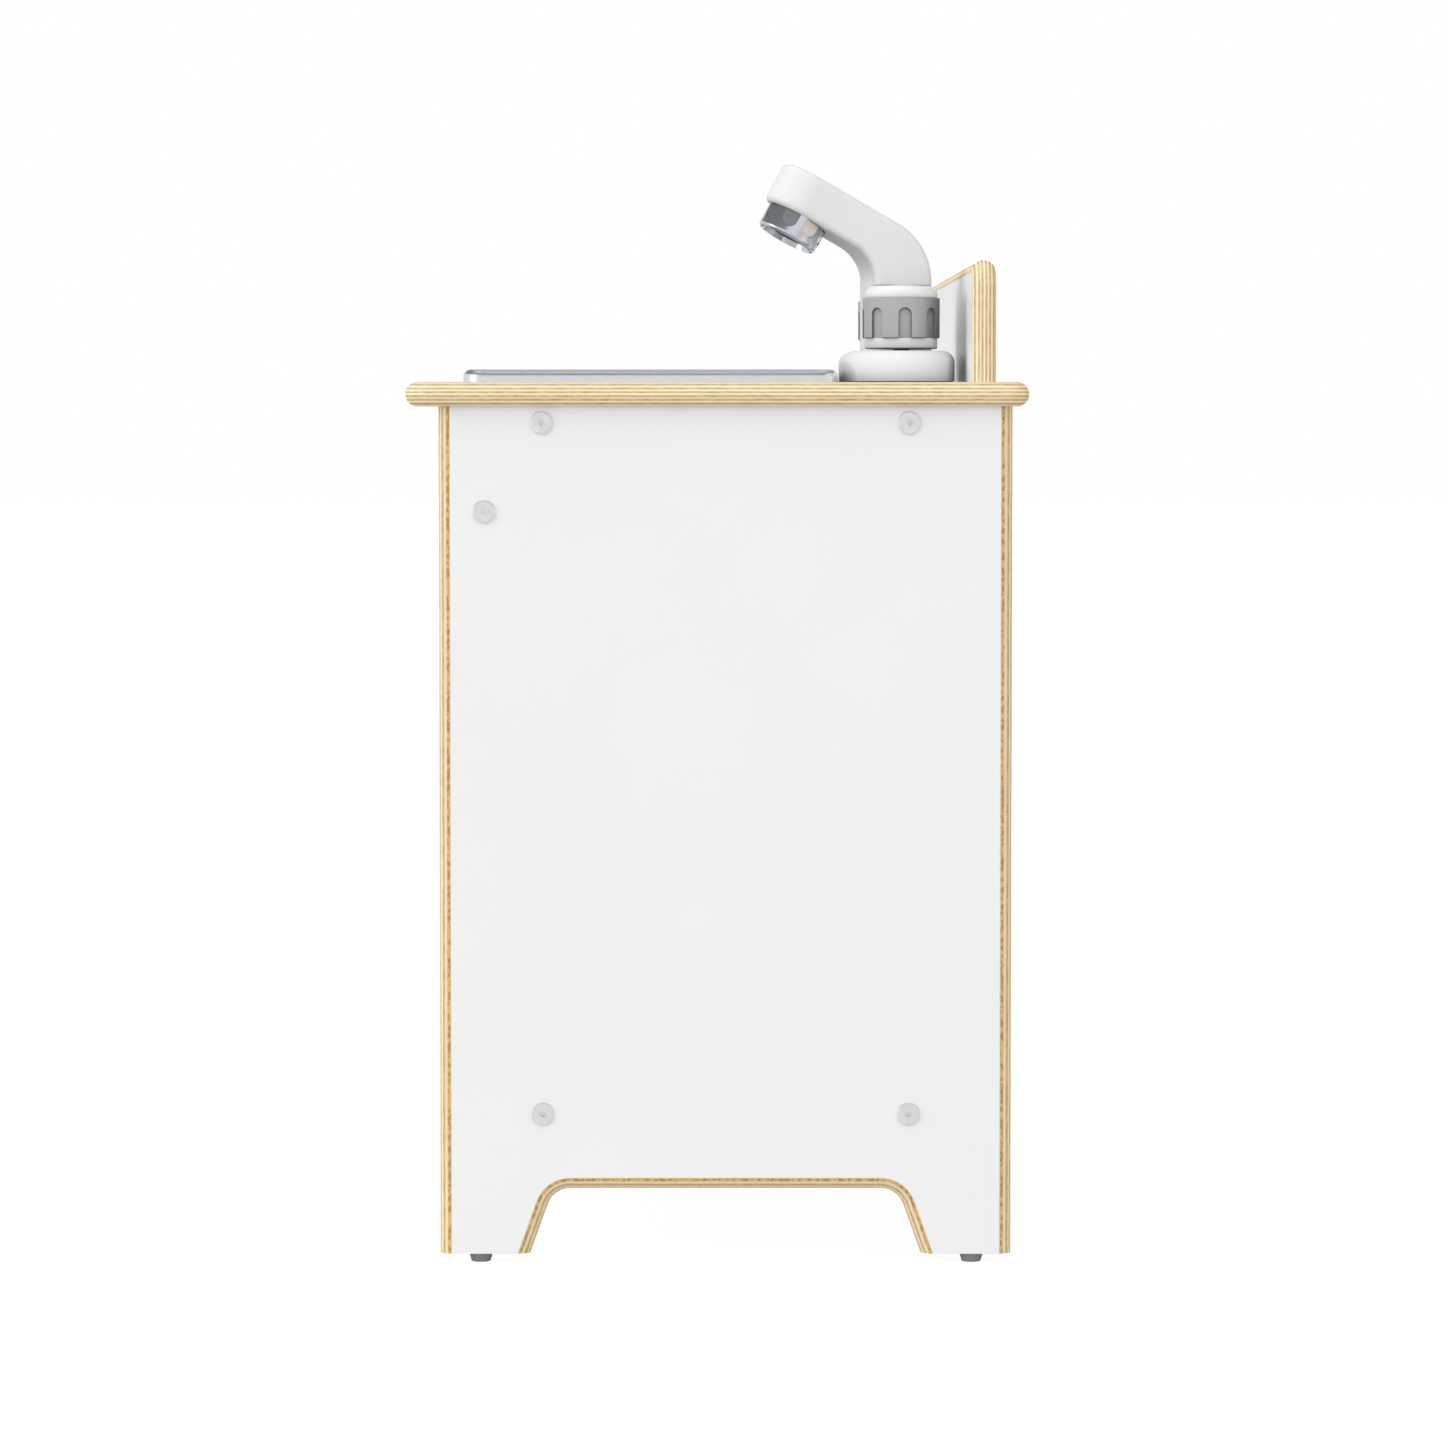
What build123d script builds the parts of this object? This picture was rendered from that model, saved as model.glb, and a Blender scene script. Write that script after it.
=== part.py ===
from build123d import *
import math
import os

# A free-standing toy kitchen in white-faced plywood: a sink with a swivelling tap on the right,
# a hob over an oven on the left. X runs to the right, -Y is the front, Z is up and the floor is
# Z = 0. The origin is at the middle of the footprint. All sizes are in millimetres.

# ---------------------------------------------------------------- driving dimensions
PLY = 18.0                     # board thickness
NOSE_R = 8.9                   # bullnose on the boards' visible edges
WIDTH = 800.0                  # over the side panels
TOP_OVERHANG = 12.0            # worktop past each side panel
TOP_DEPTH = 460.0
TOP_Z = 653.0                  # worktop surface
SIDE_FRONT = -206.0            # side panel's front and back edges
SIDE_BACK = 218.0
FOOT_H = 6.5
FOOT_Y = (-175.8, 188.8)
FOOT_STEM_R = 2.95
SHELF_Z = 102.0                # underside of the bottom shelf
FACE_Y = -181.0                # plane of the doors and the fascia
FASCIA_Z = 480.0               # underside of the fascia
BACK_Y = 199.0                 # front face of the thin back panel
BACK_T = 6.0
DIVIDER_X = 60.0               # left face of the upright between the two bays
DOOR_GAP = 2.0
BAY_X = 230.0                  # middle of the sink, and of the tap

ARCH_MID_Y = 6.0
ARCH_HALF = 145.0              # half width of the cut-out at the feet
ARCH_TOP = 54.5
ARCH_LEAN = 19.7               # degrees that its sides lean in
ARCH_R = 18.0

BOLT_R = 3.0
BOLT_HEAD_R = 8.5
BOLT_HEAD_T = 2.0
BOLT_SOCKET = 4.9              # hex socket across its corners, and how deep it goes
BOLT_SOCKET_DEPTH = 3.2
BOLT_LENGTH = 40.0
SHELF_BOLT_Y = (-129.5, 141.5)
NUT_R = 5.0
NUT_IN = 34.0                  # cross nut's axis from the side panel's outer face

# Screws as (radius, length); a negative length goes in towards the front.
WORKTOP_SCREW = (2.0, 34.0)
SPLASH_SCREW = (2.0, 55.0)
DIVIDER_SCREW = (2.0, 45.0)
BACK_SCREW = (1.6, -22.0)
TAP_SCREW = (2.0, 34.0)
HANDLE_SCREW_R = 2.0

CLEAT_W = 32.0
CLEAT_H = 24.0
CLEAT_Y = (-155.0, 195.0)

SPLASH_Y = (187.7, 205.7)
SPLASH_TOP = 743.0
SPLASH_R = 20.0

SHELF_LEVEL = 300.0            # underside of the loose shelf under the bowl
SHELF_T = 12.0
SHELF_PIN_R = 2.5
SHELF_PIN_Y = (-100.0, 150.0)

SINK_W = 270.0                 # over the rim
SINK_Y = (-190.0, 90.0)
SINK_RIM_H = 9.5
BOWL_W = 224.0
BOWL_Y = (-161.0, 65.0)
BOWL_DEPTH = 90.0
BOWL_R = 40.0                  # bowl's corners in plan, and where its floor turns up
BOWL_FLOOR_R = 18.0
SHEET = 1.2                    # steel sheet of the basin
DRAIN_R = 22.0

TAP_Y = 137.0
TAP_BASE_L = 215.0
TAP_BASE_W = 85.0
TAP_BASE_TOP = 677.0
TAP_WALL = 3.0
TAP_SCREW_OFFSET = 90.0
KNOB_OFFSET = 63.0             # each tap knob from the spout's axis, and behind it
KNOB_BACK = 2.0
KNOB_SKIRT_R = 27.4
KNOB_GRIP_R = 29.2
KNOB_CORE_R = 25.0
KNOB_BOTTOM = 678.5
GRIP_Z = (686.5, 717.0)
KNOB_TOP = 726.0
FLUTES = 8

SPOUT_SWIVEL = 12.0            # degrees that the spout stands turned to the right
NECK_R = 27.5
NECK_HALF = 22.4               # half depth of the arm's upright root
NECK_TOP = 728.0               # where the round neck turns into the flat-sided arm
ARM_WIDTH = 54.0
ARM_RISE = 29.2                # degrees above the level
ARM_T = 32.0
ARM_TOP_Z = 772.6              # where the arm's top line crosses the swivel axis
ARM_LENGTH = 100.0             # from there to the rounded end
ARM_EDGE_R = 4.5
CROOK_R = 32.0
SHOULDER_R = 50.0
AERATOR_R = 24.0
AERATOR_OUT = 19.0
AERATOR_INSET = 2.0            # its axis behind the centre of the arm's round end
SPOUT_TAIL_R = 14.0
SPINDLE_R = 6.0
TAIL_BOTTOM = 667.0

RUN_FIT = 0.08                 # radial clearance of a shaft in its hole
PIN_R = 3.0
BUSH_R = 5.0

CONTROL_X = (-281.0, -161.0, -41.0)
CONTROL_Z = 557.5
CONTROL_R = 16.0
CONTROL_BASE_R = 19.0
CONTROL_SHAFT_R = 4.0
DIAL_R = 27.0
HOB_MID = (-161.0, -35.0)
HOB_SIZE = (340.0, 270.0)
HOB_T = 3.0
BURNER_H = 4.0
BURNERS = {"large": (-82.0, 72.0), "small": (86.0, 60.0)}    # offset along X, and radius
BURNER_GROOVE = (9.0, 2.5)     # pitch and width of the rings cut in a burner

HANDLE_GAP = 14.0              # between the bar and the door
HANDLE_BAR_R = 5.0
HANDLE_POST_R = 4.5
HANDLE_SPAN = 128.0            # between the posts
OVEN_HANDLE_Z = 448.0
CABINET_HANDLE_Z = 390.0
WINDOW = (260.0, 170.0)
WINDOW_Z = 315.0
WINDOW_R = 20.0
WINDOW_REBATE = 8.0
CATCH_Z = (440.0, 460.0)
CATCH_W = 26.0

RACK_Y = (-125.0, 175.0)
RUNNER_Z = 280.0
RUNNER = 12.0
RACK_FRAME_R = 2.5
RACK_WIRE_R = 1.5
RACK_BAR_R = 2.0
RACK_WIRES = 17

# ---------------------------------------------------------------- derived places
HALF = WIDTH / 2
INNER = HALF - PLY             # side panel's inner face
UNDER = TOP_Z - PLY            # underside of the worktop
FLOOR_Z = SHELF_Z + PLY        # top of the bottom shelf
FACE_BACK = FACE_Y + PLY       # inner face of the doors and the fascia
FACE_MID = FACE_Y + PLY / 2
DIVIDER_R = DIVIDER_X + PLY
CLEAT_Z = UNDER - CLEAT_H
DOOR_Z = (FLOOR_Z + DOOR_GAP, FASCIA_Z - DOOR_GAP)
OVEN_X = (-INNER + DOOR_GAP, DIVIDER_X - DOOR_GAP)
CABINET_X = (DIVIDER_R + DOOR_GAP, INNER - DOOR_GAP)
OVEN_AXIS_Z = DOOR_Z[0] + PLY / 2
CABINET_AXIS_X = CABINET_X[1] - PLY / 2
OVEN_MID = sum(OVEN_X) / 2
SINK_MID_Y = sum(BOWL_Y) / 2
BOWL_BOTTOM = TOP_Z - BOWL_DEPTH
KNOB_Y = TAP_Y + KNOB_BACK
HOB_TOP = TOP_Z + HOB_T
OVEN_HANDLE = Pos(OVEN_MID, FACE_Y, OVEN_HANDLE_Z)
CABINET_HANDLE = Pos(CABINET_X[0] + 30.0, FACE_Y, CABINET_HANDLE_Z) * Rot(0, 90, 0)


def block(x, y, z):
    """A box between two x, two y and two z values."""
    size = (x[1] - x[0], y[1] - y[0], z[1] - z[0])
    middle = (sum(x) / 2, sum(y) / 2, sum(z) / 2)
    return Pos(*middle) * Box(*size)


def rod(start, axis, radius, length):
    """A cylinder from a point along X, Y or Z; a negative length runs the other way."""
    turn = {"x": Rot(0, 90, 0), "y": Rot(-90, 0, 0), "z": Rot(0, 0, 0)}[axis]
    step = {"x": (length / 2, 0, 0), "y": (0, length / 2, 0), "z": (0, 0, length / 2)}[axis]
    middle = Vector(*start) + Vector(*step)
    return Location(middle) * turn * Cylinder(radius, abs(length))


def plate(x, y, z, corner):
    """A level plate with rounded corners in plan."""
    outline = RectangleRounded(x[1] - x[0], y[1] - y[0], corner)
    return Pos(sum(x) / 2, sum(y) / 2, z[0]) * extrude(outline, z[1] - z[0])


def upright(x, y, z, corner):
    """An upright board that faces the front, with rounded corners."""
    outline = RectangleRounded(x[1] - x[0], z[1] - z[0], corner)
    board = extrude(Plane.XZ * outline, y[0] - y[1])
    return Pos(sum(x) / 2, y[0], sum(z) / 2) * board


def ring(centre, z, outer, inner):
    """A flat ring about a vertical axis."""
    x, y = centre
    body = rod((x, y, z[0]), "z", outer, z[1] - z[0])
    return body - rod((x, y, z[0] - 1), "z", inner, z[1] - z[0] + 2)


def rim_edges(shape, axis, places):
    """The edges of a board that lie wholly on its faces at the given places."""
    picked = []
    for place in places:
        picked += shape.edges().filter_by_position(axis, place - 0.01, place + 0.01)
    return picked


def save(name, *solids):
    """Write one node: one solid, or a group of separate ones."""
    shape = solids[0] if len(solids) == 1 else Compound(children=list(solids))
    shape.label = name
    export_step(shape, f"parts/{name}.step")


# ---------------------------------------------------------------- fasteners
def bolt_places():
    """Where a side panel's bolts go in, as (y, z)."""
    middle = SHELF_Z + PLY / 2
    upper = UNDER - CLEAT_H / 2
    places = [(y, middle) for y in SHELF_BOLT_Y]
    places += [(y, upper) for y in SHELF_BOLT_Y]
    return places + [(FACE_MID, CONTROL_Z)]


def bolt_bores(side):
    """The holes that one side's bolts and cross nuts need."""
    bores = [rod((side * (HALF + 1), y, z), "x", BOLT_R + 0.2, -side * (BOLT_LENGTH + 4))
             for y, z in bolt_places()]
    return bores + cross_nuts(side, NUT_R, 0.5)


def cross_nuts(side, radius, extra):
    """Barrel nuts across the bolts' ends: upright in the boards, level in the fascia."""
    x = side * (HALF - NUT_IN)
    nuts = []
    for y, z in bolt_places():
        if z == CONTROL_Z:
            nuts.append(rod((x, FACE_BACK + extra, z), "y", radius, -14.0 - extra))
        elif z < FASCIA_Z:
            nuts.append(rod((x, y, SHELF_Z - extra), "z", radius, 14.0 + extra))
        else:
            nuts.append(rod((x, y, CLEAT_Z - extra), "z", radius, 17.0 + extra))
    return nuts


def panel_bolt(side, y, z):
    """A connector bolt with a low domed head and a hex socket."""
    head = fillet(Cylinder(BOLT_HEAD_R, BOLT_HEAD_T).edges().group_by(Axis.Z)[-1], 0.9)
    shank = Pos(0, 0, -(BOLT_HEAD_T + BOLT_LENGTH) / 2) * Cylinder(BOLT_R, BOLT_LENGTH)
    bolt = Pos(0, 0, BOLT_HEAD_T / 2) * (head + shank)
    socket = RegularPolygon(BOLT_SOCKET / 2, 6)
    bolt -= extrude(Pos(0, 0, BOLT_HEAD_T - BOLT_SOCKET_DEPTH) * socket, BOLT_SOCKET_DEPTH + 1)
    return Pos(side * HALF, y, z) * Rot(0, side * 90, 0) * bolt


def barrel_nuts(side):
    """The cross nuts with the bolts' holes through them."""
    nuts = cross_nuts(side, NUT_R - 0.05, 0.0)
    bores = [rod((side * HALF, y, z), "x", BOLT_R + 0.05, -side * (BOLT_LENGTH + 4))
             for y, z in bolt_places()]
    return [nut - bore for nut, bore in zip(nuts, bores)]


def pan_screw(point, axis, radius, length):
    """A pan-head screw from the surface point into the board; length is signed."""
    way = math.copysign(1.0, length)
    shank = rod(point, axis, radius, length)
    head = rod(point, axis, 2 * radius, -way * 1.1 * radius)
    edge = {"x": Axis.X, "y": Axis.Y, "z": Axis.Z}[axis]
    rims = head.edges().sort_by(edge)
    outer = rims[0] if way > 0 else rims[-1]
    return fillet(outer, 0.7 * radius) + shank


def worktop_screw_places():
    """Screws up through the three cleats."""
    rows = (-HALF + NUT_IN, DIVIDER_X - CLEAT_W / 2, HALF - NUT_IN)
    return [(x, y, CLEAT_Z) for x in rows for y in (-70.0, 20.0, 100.0)]


def splash_screw_places():
    y = SPLASH_Y[0] + 4.6
    return [(x, y, UNDER) for x in (-330.0, -110.0, 110.0, 330.0)]


def divider_screw_places():
    return [(DIVIDER_X + PLY / 2, y, SHELF_Z) for y in (-120.0, 20.0, 160.0)]


def back_screw_places():
    y = BACK_Y + BACK_T
    shelf = [(x, y, SHELF_Z + PLY / 2) for x in (-330.0, -200.0, -70.0, 160.0, 300.0)]
    post = [(DIVIDER_X + PLY / 2, y, z) for z in (200.0, 330.0, 460.0, 590.0)]
    return shelf + post


def tap_screw_places():
    return [(BAY_X + side * TAP_SCREW_OFFSET, TAP_Y, UNDER) for side in (-1, 1)]


def screw_group(places, axis, radius, length):
    return [pan_screw(place, axis, radius, length) for place in places]


def pilot_holes(places, axis, radius, length):
    """Holes that the screws fill, so that the thread and the board meet face to face."""
    return [rod(place, axis, radius, length) for place in places]


# ---------------------------------------------------------------- carcass
def side_panel(side):
    """A side with an arched cut-out between its two feet and bullnosed edges."""
    lean = (ARCH_TOP - FOOT_H) * math.tan(math.radians(ARCH_LEAN))
    left, right = ARCH_MID_Y - ARCH_HALF, ARCH_MID_Y + ARCH_HALF
    outline = Polyline(
        (SIDE_FRONT, FOOT_H),
        (left, FOOT_H),
        (left + lean, ARCH_TOP),
        (right - lean, ARCH_TOP),
        (right, FOOT_H),
        (SIDE_BACK, FOOT_H),
        (SIDE_BACK, UNDER),
        (SIDE_FRONT, UNDER),
        close=True,
    )
    face = make_face(outline)
    corners = [v for v in face.vertices() if abs(v.Y - ARCH_TOP) < 0.01]
    face = fillet(corners, ARCH_R)
    inner_x = INNER if side > 0 else -HALF
    panel = extrude(Plane.YZ.offset(inner_x) * face, PLY)
    rims = rim_edges(panel, Axis.X, (inner_x, inner_x + PLY))
    flat = (FOOT_H, UNDER)
    nosed = [e for e in rims if min(abs(e.center().Z - z) for z in flat) > 0.1]
    panel = fillet(nosed, NOSE_R)
    for bore in bolt_bores(side):
        panel -= bore
    for y in FOOT_Y:
        panel -= rod((side * (HALF - PLY / 2), y, FOOT_H - 1), "z", FOOT_STEM_R + 0.05, 17.0)
    if side < 0:
        panel -= rod((-INNER + 1, FACE_MID, OVEN_AXIS_Z), "x", PIN_R, -11.0)
    return panel


def foot_glide(x, y):
    """A tapered plastic glide with a stem driven into the panel's foot."""
    cup = extrude(Circle(7.1), FOOT_H, taper=-15.5)
    cup = fillet(cup.edges().group_by(Axis.Z)[0], 0.8)
    stem = Pos(0, 0, FOOT_H + 7.4) * Cylinder(FOOT_STEM_R, 14.8)
    return Pos(x, y, 0) * (cup + stem)


def worktop():
    """The worktop, bullnosed all round, cut out for the bowl."""
    half_x, half_y = HALF + TOP_OVERHANG, TOP_DEPTH / 2
    board = plate((-half_x, half_x), (-half_y, half_y), (UNDER, TOP_Z), 16.0)
    board = fillet(rim_edges(board, Axis.Z, (UNDER, TOP_Z)), NOSE_R)
    half = BOWL_W / 2 + 2
    board -= plate((BAY_X - half, BAY_X + half), (BOWL_Y[0] - 2, BOWL_Y[1] + 2),
                   (UNDER - 1, TOP_Z + 1), 42.0)
    for hole in pilot_holes(worktop_screw_places(), "z", *WORKTOP_SCREW):
        board -= hole
    for hole in pilot_holes(splash_screw_places(), "z", *SPLASH_SCREW):
        board -= hole
    for x, y, z in tap_screw_places():
        board -= rod((x, y, z - 1), "z", 2.3, PLY + 2)
    return board


def backsplash():
    """The low board along the back of the worktop, bullnosed except where it stands."""
    sunk = SPLASH_R
    board = upright((-HALF, HALF), SPLASH_Y, (TOP_Z - sunk, SPLASH_TOP), SPLASH_R)
    board = fillet(rim_edges(board, Axis.Y, SPLASH_Y), NOSE_R)
    board -= block((-HALF - 1, HALF + 1), (SPLASH_Y[0] - 1, SPLASH_Y[1] + 1),
                   (TOP_Z - sunk - 1, TOP_Z))
    for hole in pilot_holes(splash_screw_places(), "z", *SPLASH_SCREW):
        board -= hole
    return board


def bottom_shelf():
    """The floor of both bays. Its front stands proud and is the open oven door's stop."""
    board = block((-INNER, INNER), (-200.0, BACK_Y), (SHELF_Z, FLOOR_Z))
    front = board.edges().filter_by(Axis.X).group_by(Axis.Y)[0]
    board = fillet(front, 5.0)
    for bore in bolt_bores(-1) + bolt_bores(1):
        board -= bore
    board -= rod((CABINET_AXIS_X, FACE_MID, FLOOR_Z + 1), "z", PIN_R, -11.0)
    for hole in pilot_holes(divider_screw_places(), "z", *DIVIDER_SCREW):
        board -= hole
    for hole in pilot_holes(back_screw_places(), "y", *BACK_SCREW):
        board -= hole
    return board


def centre_divider():
    """The upright between the bays, notched for the fascia, with shelf pin holes."""
    board = block((DIVIDER_X, DIVIDER_R), (FACE_Y, BACK_Y), (FLOOR_Z, UNDER))
    board -= block((DIVIDER_X - 1, DIVIDER_R + 1), (FACE_Y - 1, FACE_BACK), (FASCIA_Z, UNDER + 1))
    board -= rod((DIVIDER_X - 1, FACE_MID, OVEN_AXIS_Z), "x", PIN_R, 11.0)
    for hole in pilot_holes(divider_screw_places(), "z", *DIVIDER_SCREW):
        board -= hole
    for hole in pilot_holes(back_screw_places(), "y", *BACK_SCREW):
        board -= hole
    for pin in shelf_pins():
        board -= pin
    return board


def front_fascia():
    """The board over the doors, which carries the hob and oven controls."""
    board = block((-INNER, INNER), (FACE_Y, FACE_BACK), (FASCIA_Z, UNDER))
    board = fillet(board.edges().filter_by(Axis.X).group_by(Axis.Z)[0], 3.0)
    for x in CONTROL_X:
        board -= rod((x, FACE_Y - 1, CONTROL_Z), "y", CONTROL_SHAFT_R + RUN_FIT, PLY + 2)
    for bore in bolt_bores(-1) + bolt_bores(1):
        board -= bore
    board -= rod((CABINET_AXIS_X, FACE_MID, FASCIA_Z - 1), "z", PIN_R, 11.0)
    return board


def back_panel():
    board = block((-INNER, INNER), (BACK_Y, BACK_Y + BACK_T), (SHELF_Z, UNDER))
    for hole in pilot_holes(back_screw_places(), "y", *BACK_SCREW):
        board -= hole
    return board


def cleat(x, side):
    """A batten under the worktop that the panel bolts and worktop screws hold."""
    batten = block(x, CLEAT_Y, (CLEAT_Z, UNDER))
    batten = fillet(batten.edges().filter_by(Axis.Y).group_by(Axis.Z)[0], 2.0)
    for hole in pilot_holes(worktop_screw_places(), "z", *WORKTOP_SCREW):
        batten -= hole
    for bore in bolt_bores(side) if side else []:
        batten -= bore
    return batten


def cabinet_shelf():
    """The loose shelf under the bowl, which lies on four pins."""
    x = (DIVIDER_R + 1.0, INNER - 1.0)
    board = block(x, (-140.0, BACK_Y - 2), (SHELF_LEVEL, SHELF_LEVEL + SHELF_T))
    return fillet(board.edges().filter_by(Axis.X).group_by(Axis.Y)[0], 3.0)


def shelf_pins():
    """Plain pins, half in the board and half under the shelf."""
    level = SHELF_LEVEL - SHELF_PIN_R
    pins = []
    for y in SHELF_PIN_Y:
        pins.append(rod((DIVIDER_R - 10.0, y, level), "x", SHELF_PIN_R, 18.0))
        pins.append(rod((INNER + 10.0, y, level), "x", SHELF_PIN_R, -18.0))
    return pins


# ---------------------------------------------------------------- sink
def sink_mouth(grow, z, corner):
    """A plate of the bowl's outline, grown all round."""
    half = BOWL_W / 2 + grow
    return plate((BAY_X - half, BAY_X + half), (BOWL_Y[0] - grow, BOWL_Y[1] + grow), z, corner)


def sink_rim(shrink, z, corner, edge):
    """A plate of the rim's outline with a rounded top edge."""
    half = SINK_W / 2 - shrink
    rim = plate((BAY_X - half, BAY_X + half), (SINK_Y[0] + shrink, SINK_Y[1] - shrink), z, corner)
    return fillet(rim.edges().group_by(Axis.Z)[-1], edge)


def sink_basin():
    """A pressed steel basin: a raised rolled rim with a deep bowl below it."""
    rim_top = TOP_Z + SINK_RIM_H
    bowl = sink_mouth(0.0, (BOWL_BOTTOM, TOP_Z + 1), BOWL_R)
    bowl = fillet(bowl.edges().group_by(Axis.Z)[0], BOWL_FLOOR_R)
    basin = sink_rim(0.0, (TOP_Z, rim_top), 20.0, 5.0) + bowl
    inside = sink_mouth(-SHEET, (BOWL_BOTTOM + SHEET, rim_top + 1), BOWL_R - SHEET)
    basin -= fillet(inside.edges().group_by(Axis.Z)[0], BOWL_FLOOR_R - SHEET)
    lip = basin.edges().filter_by_position(Axis.Z, rim_top - 0.01, rim_top + 0.01)
    half_in = BOWL_W / 2 - SHEET + 0.1
    basin = fillet([e for e in lip if abs(e.center().X - BAY_X) < half_in
                    and abs(e.center().Y - SINK_MID_Y) < (BOWL_Y[1] - BOWL_Y[0]) / 2], 6.0)
    fold = 7.5                                    # solid width kept around the bowl's mouth
    under = sink_rim(SHEET, (TOP_Z - 1, rim_top - SHEET), 20.0 - SHEET, 4.0)
    basin -= under - sink_mouth(fold, (TOP_Z - 2, rim_top + 1), BOWL_R + fold)
    return basin - rod((BAY_X, SINK_MID_Y, BOWL_BOTTOM - 1), "z", DRAIN_R, 4)


def sink_strainer():
    """A pressed strainer cup in the drain, pierced with two rings of holes."""
    bottom = BOWL_BOTTOM + SHEET
    depth = 9.0
    wall = 1.2
    centre = (BAY_X, SINK_MID_Y)
    flange = rod((*centre, bottom), "z", DRAIN_R + 8, 1.4)
    flange = fillet(flange.edges().group_by(Axis.Z)[-1], 0.9)
    cup = rod((*centre, bottom - depth), "z", DRAIN_R - 0.3, depth)
    cup = fillet(cup.edges().group_by(Axis.Z)[0], 3.0)
    strainer = flange + cup
    strainer -= rod((*centre, bottom - depth + wall), "z", DRAIN_R - 0.3 - wall, depth + 3)
    strainer -= rod((*centre, bottom - depth - 1), "z", 2.2, 4)
    for count, radius in ((6, 8.0), (12, 14.5)):
        for place in PolarLocations(radius, count):
            strainer -= Pos(*centre, bottom - depth) * place * Cylinder(1.9, 4)
    return strainer


# ---------------------------------------------------------------- tap
def tap_outline(inset):
    return SlotOverall(TAP_BASE_L - 2 * inset, TAP_BASE_W - 2 * inset)


def tap_base():
    """The moulded base shell that the spout and both knobs snap into."""
    low = TOP_Z + 1.0
    shell = Pos(BAY_X, TAP_Y, low) * extrude(tap_outline(0), TAP_BASE_TOP - low)
    shell = fillet(shell.edges().group_by(Axis.Z)[-1], 9.0)
    hollow = Pos(BAY_X, TAP_Y, low - 1) * extrude(tap_outline(TAP_WALL),
                                                  TAP_BASE_TOP - TAP_WALL - low + 1)
    shell -= fillet(hollow.edges().group_by(Axis.Z)[-1], 6.0)
    for x, y, _ in tap_screw_places():
        shell += rod((x, y, low), "z", 5.5, TAP_BASE_TOP - TAP_WALL - low + 0.5)
    for place in tap_screw_places():
        shell -= rod(place, "z", *TAP_SCREW)
    shell -= rod((BAY_X, TAP_Y, low), "z", SPOUT_TAIL_R + RUN_FIT, 40)
    for side in (-1, 1):
        shell -= rod((knob_x(side), KNOB_Y, low), "z", SPINDLE_R + RUN_FIT, 40)
    return shell


def tap_gasket():
    """A thin rubber seal between the base and the worktop."""
    seal = extrude(tap_outline(1.0), 1.0) - extrude(tap_outline(9.0), 1.0)
    return Pos(BAY_X, TAP_Y, TOP_Z) * seal


def clip_ring(x, y, shaft_r):
    top = TAP_BASE_TOP - TAP_WALL - 0.5
    return ring((x, y), (top - 2.5, top), shaft_r + 4.0, shaft_r - 1.0)


def snap_clip(x, y, shaft_r):
    """The spring clip that holds a shaft under the base's top, open at the back."""
    low = TAP_BASE_TOP - TAP_WALL - 5.0
    return clip_ring(x, y, shaft_r) - block((x - 2.0, x + 2.0), (y, y + 30), (low, low + 6.0))


def arm_frame():
    """The arm's top line as (forward, up): where it starts, its way out and its way down."""
    rise = math.radians(ARM_RISE)
    along = Vector(-math.cos(rise), math.sin(rise))
    down = Vector(-math.sin(rise), -math.cos(rise))
    return Vector(0, ARM_TOP_Z), along, down


def arm_outline():
    """The spout's side view, with forward as minus X and the swivel axis at zero."""
    upper, along, down = arm_frame()
    lower = upper + down * ARM_T
    tip = upper + along * ARM_LENGTH
    crook = lower + along * ((NECK_HALF + lower.X) / -along.X)
    shoulder = upper + along * (NECK_HALF / along.X)
    face = make_face(Polyline((-NECK_HALF, NECK_TOP), crook, tip + down * ARM_T, tip, shoulder,
                              (NECK_HALF, NECK_TOP), close=True))
    for point, radius in ((crook, CROOK_R), (shoulder, SHOULDER_R)):
        corner = min(face.vertices(), key=lambda v: (Vector(v.X, v.Y) - point).length)
        face = fillet(corner, radius)
    return face


def aerator_place():
    """The plane across the nozzle, its normal pointing out of it."""
    upper, along, down = arm_frame()
    centre = upper + down * ARM_T + along * (ARM_LENGTH - ARM_WIDTH / 2 - AERATOR_INSET)
    origin = (0, centre.X, centre.Y)
    return Plane(origin=origin, x_dir=(1, 0, 0), z_dir=(0, down.X, down.Y))


def to_tap(shape):
    """Set a spout piece, made facing the front on its own axis, at the tap."""
    return Pos(BAY_X, TAP_Y, 0) * Rot(0, 0, SPOUT_SWIVEL) * shape


def arm_rims(arm):
    """The edges along the arm's sides and around its end, without the seams across them."""
    seams = (ARM_WIDTH, ARM_T)
    return [e for e in arm.edges() if e.center().Z > NECK_TOP + 1
            and min(abs(e.length - seam) for seam in seams) > 0.1]


def spout():
    """The swivelling spout: a round neck and a flat-sided arm with a rounded end."""
    arm = extrude(Plane.YZ.offset(-ARM_WIDTH / 2) * arm_outline(), ARM_WIDTH)
    arm = fillet([e for e in arm.edges() if abs(e.length - ARM_T) < 0.1], ARM_WIDTH / 2 - 0.1)
    arm = fillet(arm_rims(arm), ARM_EDGE_R)
    neck = rod((0, 0, TAP_BASE_TOP + 0.4), "z", NECK_R, NECK_TOP - TAP_BASE_TOP + 2)
    tail = rod((0, 0, TAIL_BOTTOM), "z", SPOUT_TAIL_R, 14.0)
    arm += neck + tail
    arm -= aerator_place() * Pos(0, 0, -3.0) * Cylinder(AERATOR_R + 0.1, 6.2)
    return to_tap(arm) - clip_ring(BAY_X, TAP_Y, SPOUT_TAIL_R)


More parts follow.
